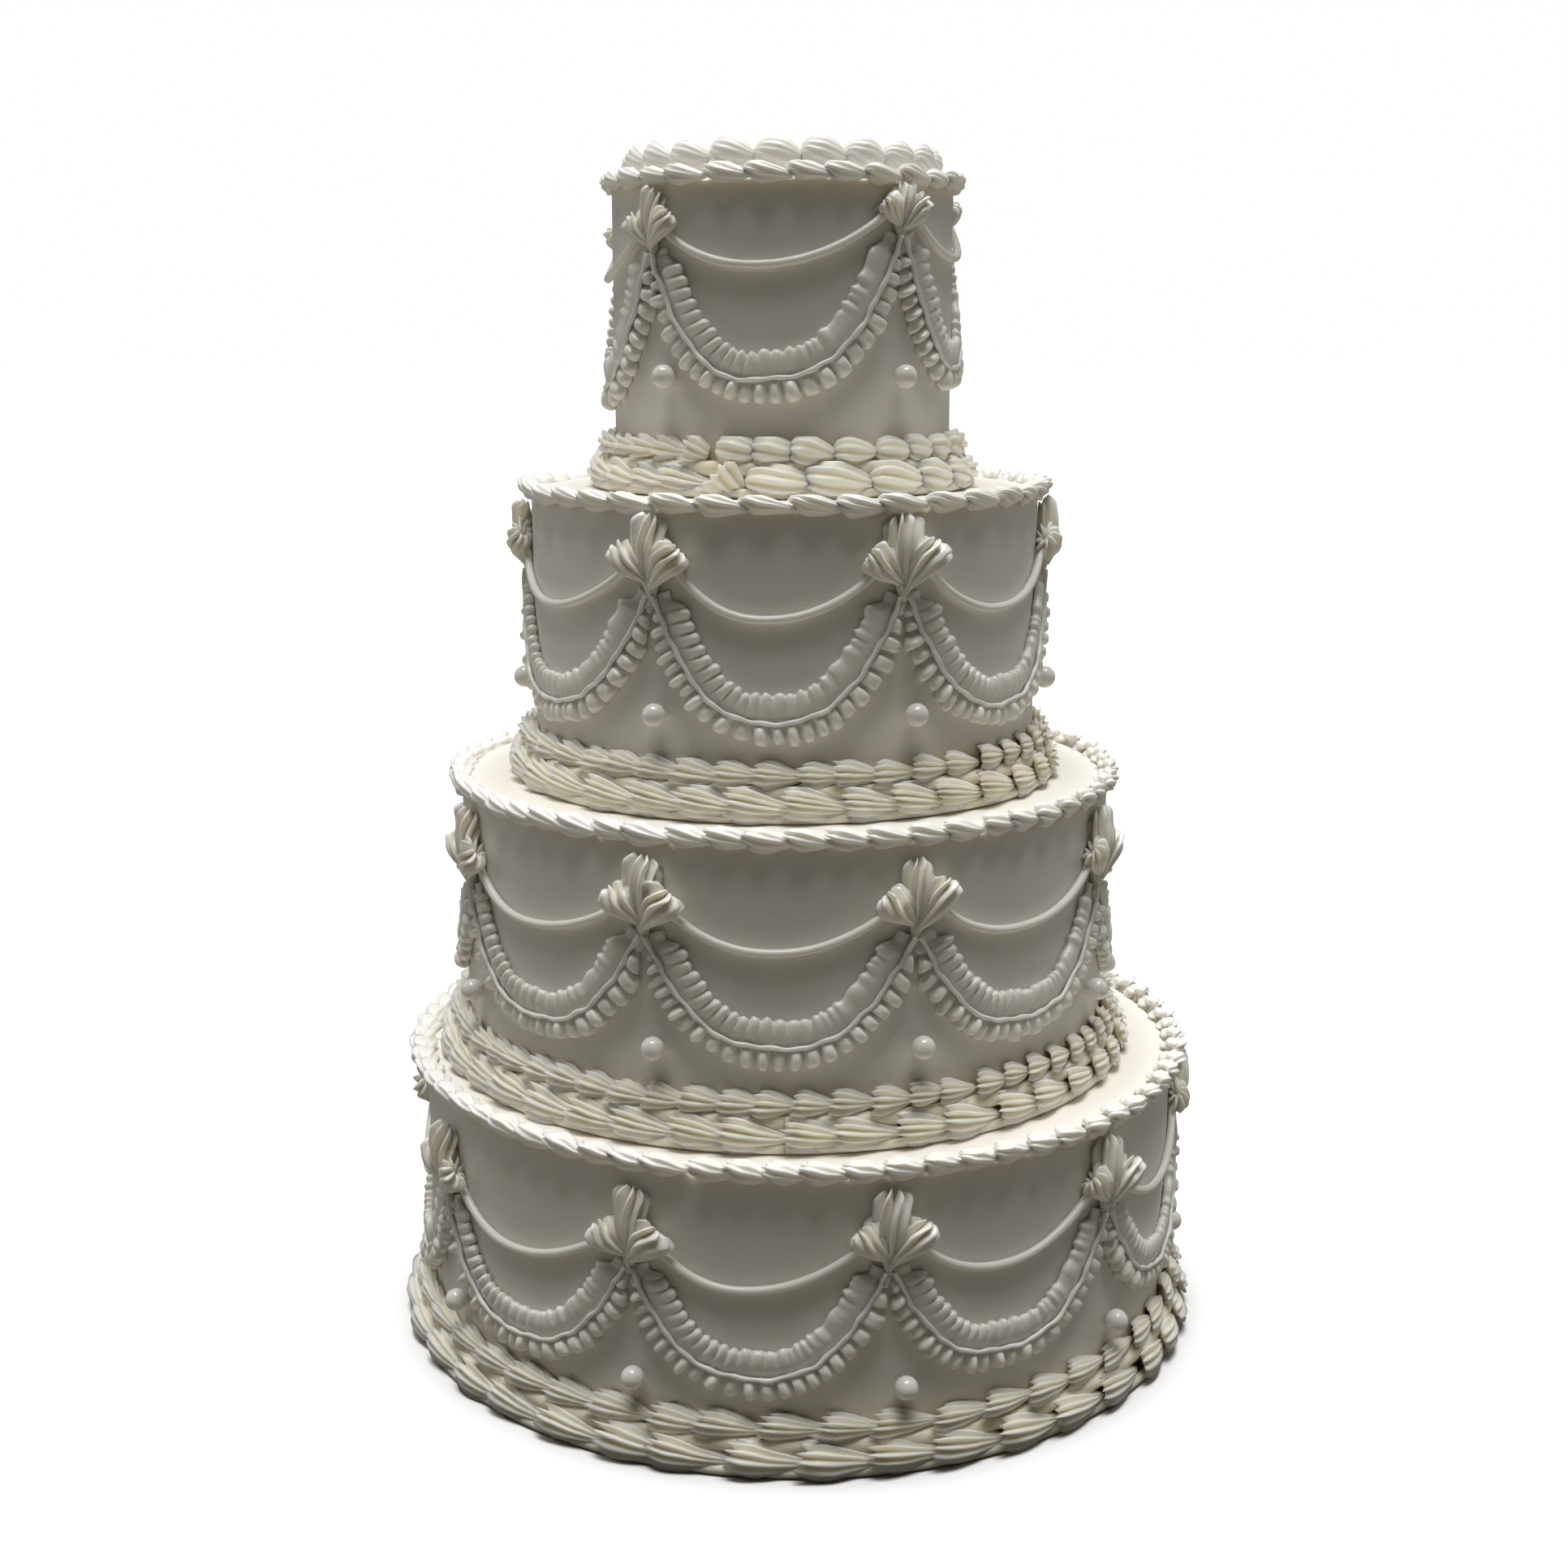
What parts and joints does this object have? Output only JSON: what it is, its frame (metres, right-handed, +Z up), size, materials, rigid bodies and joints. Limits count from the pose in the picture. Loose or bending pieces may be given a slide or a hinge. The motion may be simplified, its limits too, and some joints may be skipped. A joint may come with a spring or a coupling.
{
  "type": "tiered wedding cake",
  "caption": "Round tiered wedding cake in ivory buttercream, piped with shell borders, fleur-de-lis posts, smooth rope drapes, ruffled festoons and sugar pearls, standing on its lowest tier.",
  "frame": {"origin": "centre of the lowest tier's underside, on the surface that the cake stands on; the three upper tiers stand about 7 mm to its left", "axes": "+Z up, front toward -Y, +X to the right seen from the front"},
  "size_m": [0.383, 0.383, 0.5383],
  "materials": {
    "icing": "smoothed ivory buttercream, satin",
    "piping": "piped ivory buttercream, satin, warmer in its grooves",
    "pearl": "polished sugar pearl with a soft sheen"
  },
  "bodies": {
    "root": {"tier_1": "icing", "tier_2": "icing", "tier_3": "icing", "tier_4": "icing", "rim_1": "piping", "base_lower_1": "piping", "base_upper_1": "piping", "drape_1": "piping", "rim_2": "piping", "base_lower_2": "piping", "base_upper_2": "piping", "drape_2": "piping", "rim_3": "piping", "base_lower_3": "piping", "base_upper_3": "piping", "drape_3": "piping", "rim_4": "piping", "base_lower_4": "piping", "base_upper_4": "piping", "drape_4": "piping", "crown_1": "piping", "pearl_1_1": "pearl", "pearl_1_2": "pearl", "pearl_1_3": "pearl", "pearl_1_4": "pearl", "pearl_1_5": "pearl", "pearl_2_1": "pearl", "pearl_2_2": "pearl", "pearl_2_3": "pearl", "pearl_2_4": "pearl", "pearl_2_5": "pearl", "pearl_2_6": "pearl", "pearl_3_1": "pearl", "pearl_3_2": "pearl", "pearl_3_3": "pearl", "pearl_3_4": "pearl", "pearl_3_5": "pearl", "pearl_3_6": "pearl", "pearl_3_7": "pearl", "pearl_3_8": "pearl", "pearl_4_1": "pearl", "pearl_4_2": "pearl", "pearl_4_3": "pearl", "pearl_4_4": "pearl", "pearl_4_5": "pearl", "pearl_4_6": "pearl", "pearl_4_7": "pearl", "pearl_4_8": "pearl", "pearl_4_9": "pearl", "pearl_4_10": "pearl"}
  },
  "joints": []
}
